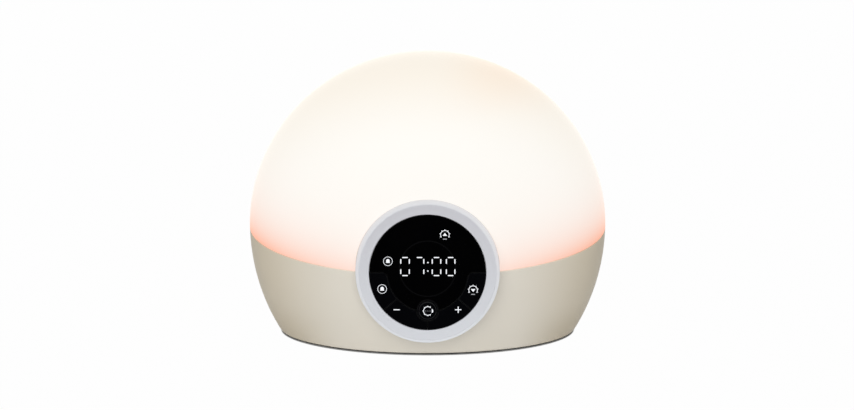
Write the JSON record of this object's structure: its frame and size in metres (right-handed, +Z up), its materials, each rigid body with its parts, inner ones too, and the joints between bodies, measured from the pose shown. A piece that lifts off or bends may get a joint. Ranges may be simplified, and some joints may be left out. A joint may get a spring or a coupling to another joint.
{
  "type": "sunrise alarm clock",
  "caption": "Oval wake-up light with an opal dome on a satin base, a round black digital display and a band of push buttons.",
  "frame": {"origin": "on the table under the middle of the clock's outer box, head included", "axes": "+X to the right as the display is read, -Y out of the front, +Z up"},
  "size_m": [0.205, 0.1209, 0.165],
  "materials": {
    "opal_diffuser": "satin opal acrylic, lit warm white",
    "champagne_satin": "satin champagne beige",
    "dark_cover": "fine matte texture",
    "foot_rubber": "matte",
    "silver_bezel": "satin light grey",
    "black_gloss": "gloss black acrylic",
    "switch_black": "matte",
    "switch_plunger": "satin",
    "green_board": "solder resist",
    "white_board": "white solder resist",
    "display_face": "matte black",
    "lit_segment": "lit white",
    "clear_guide": "clear acrylic",
    "led_white": "moulded",
    "led_amber": "moulded",
    "inner_white": "matt white",
    "inner_black": "matte",
    "sink_aluminium": "extruded",
    "screw_steel": "zinc plated",
    "capacitor_sleeve": "shrink sleeve",
    "ferrite": "ferrite grey",
    "chip_black": "moulded",
    "crystal_can": "bright can",
    "connector_white": "nylon",
    "ribbon_grey": "soft vinyl",
    "lead_black": "soft vinyl",
    "inlet_nickel": "nickel plated"
  },
  "bodies": {
    "clock_body": {"diffuser_dome": "opal_diffuser", "base_housing": "champagne_satin", "bottom_cover": "dark_cover", "rubber_feet": "foot_rubber", "bottom_cover_screws": "screw_steel", "display_bezel": "silver_bezel", "display_window": "black_gloss", "head_cover": "inner_black", "display_board": "green_board", "display_board_screws": "screw_steel", "head_cover_screws": "screw_steel", "head_screws": "screw_steel", "tact_switches": "switch_black", "digit_display": "display_face", "digit_segments": "lit_segment", "indicator_light_guides": "clear_guide", "indicator_leds": "led_white", "reflector_tray": "inner_white", "led_board": "white_board", "white_leds": "led_white", "amber_leds": "led_amber", "heat_sink": "sink_aluminium", "led_board_screws": "screw_steel", "tray_screws": "screw_steel", "main_board": "green_board", "main_board_screws": "screw_steel", "smoothing_capacitors": "capacitor_sleeve", "driver_inductor": "ferrite", "control_chips": "chip_black", "backup_capacitor": "capacitor_sleeve", "beeper": "inner_black", "clock_crystal": "crystal_can", "board_connectors": "connector_white", "dc_inlet": "inner_black", "dc_inlet_nut": "inlet_nickel", "display_ribbon": "ribbon_grey", "power_lead": "lead_black", "led_lead": "ribbon_grey"},
    "alarm_key": {"alarm_button": "black_gloss", "alarm_switch_plunger": "switch_plunger"},
    "minus_key": {"minus_button": "black_gloss", "minus_switch_plunger": "switch_plunger"},
    "light_key": {"light_button": "black_gloss", "light_switch_plunger": "switch_plunger"},
    "plus_key": {"plus_button": "black_gloss", "plus_switch_plunger": "switch_plunger"},
    "sunset_key": {"sunset_button": "black_gloss", "sunset_switch_plunger": "switch_plunger"}
  },
  "joints": [
    {"name": "alarm_press", "type": "slide", "parent": "clock_body", "child": "alarm_key", "axis": [0, 0.993, -0.1184], "range_m": [0, 0.0006], "stiffness_N_per_m": 1500, "springref_m": -0.0006},
    {"name": "minus_press", "type": "slide", "parent": "clock_body", "child": "minus_key", "axis": [0, 0.993, -0.1184], "range_m": [0, 0.0006], "stiffness_N_per_m": 1500, "springref_m": -0.0006},
    {"name": "light_press", "type": "slide", "parent": "clock_body", "child": "light_key", "axis": [0, 0.993, -0.1184], "range_m": [0, 0.0006], "stiffness_N_per_m": 1500, "springref_m": -0.0006},
    {"name": "plus_press", "type": "slide", "parent": "clock_body", "child": "plus_key", "axis": [0, 0.993, -0.1184], "range_m": [0, 0.0006], "stiffness_N_per_m": 1500, "springref_m": -0.0006},
    {"name": "sunset_press", "type": "slide", "parent": "clock_body", "child": "sunset_key", "axis": [0, 0.993, -0.1184], "range_m": [0, 0.0006], "stiffness_N_per_m": 1500, "springref_m": -0.0006}
  ]
}
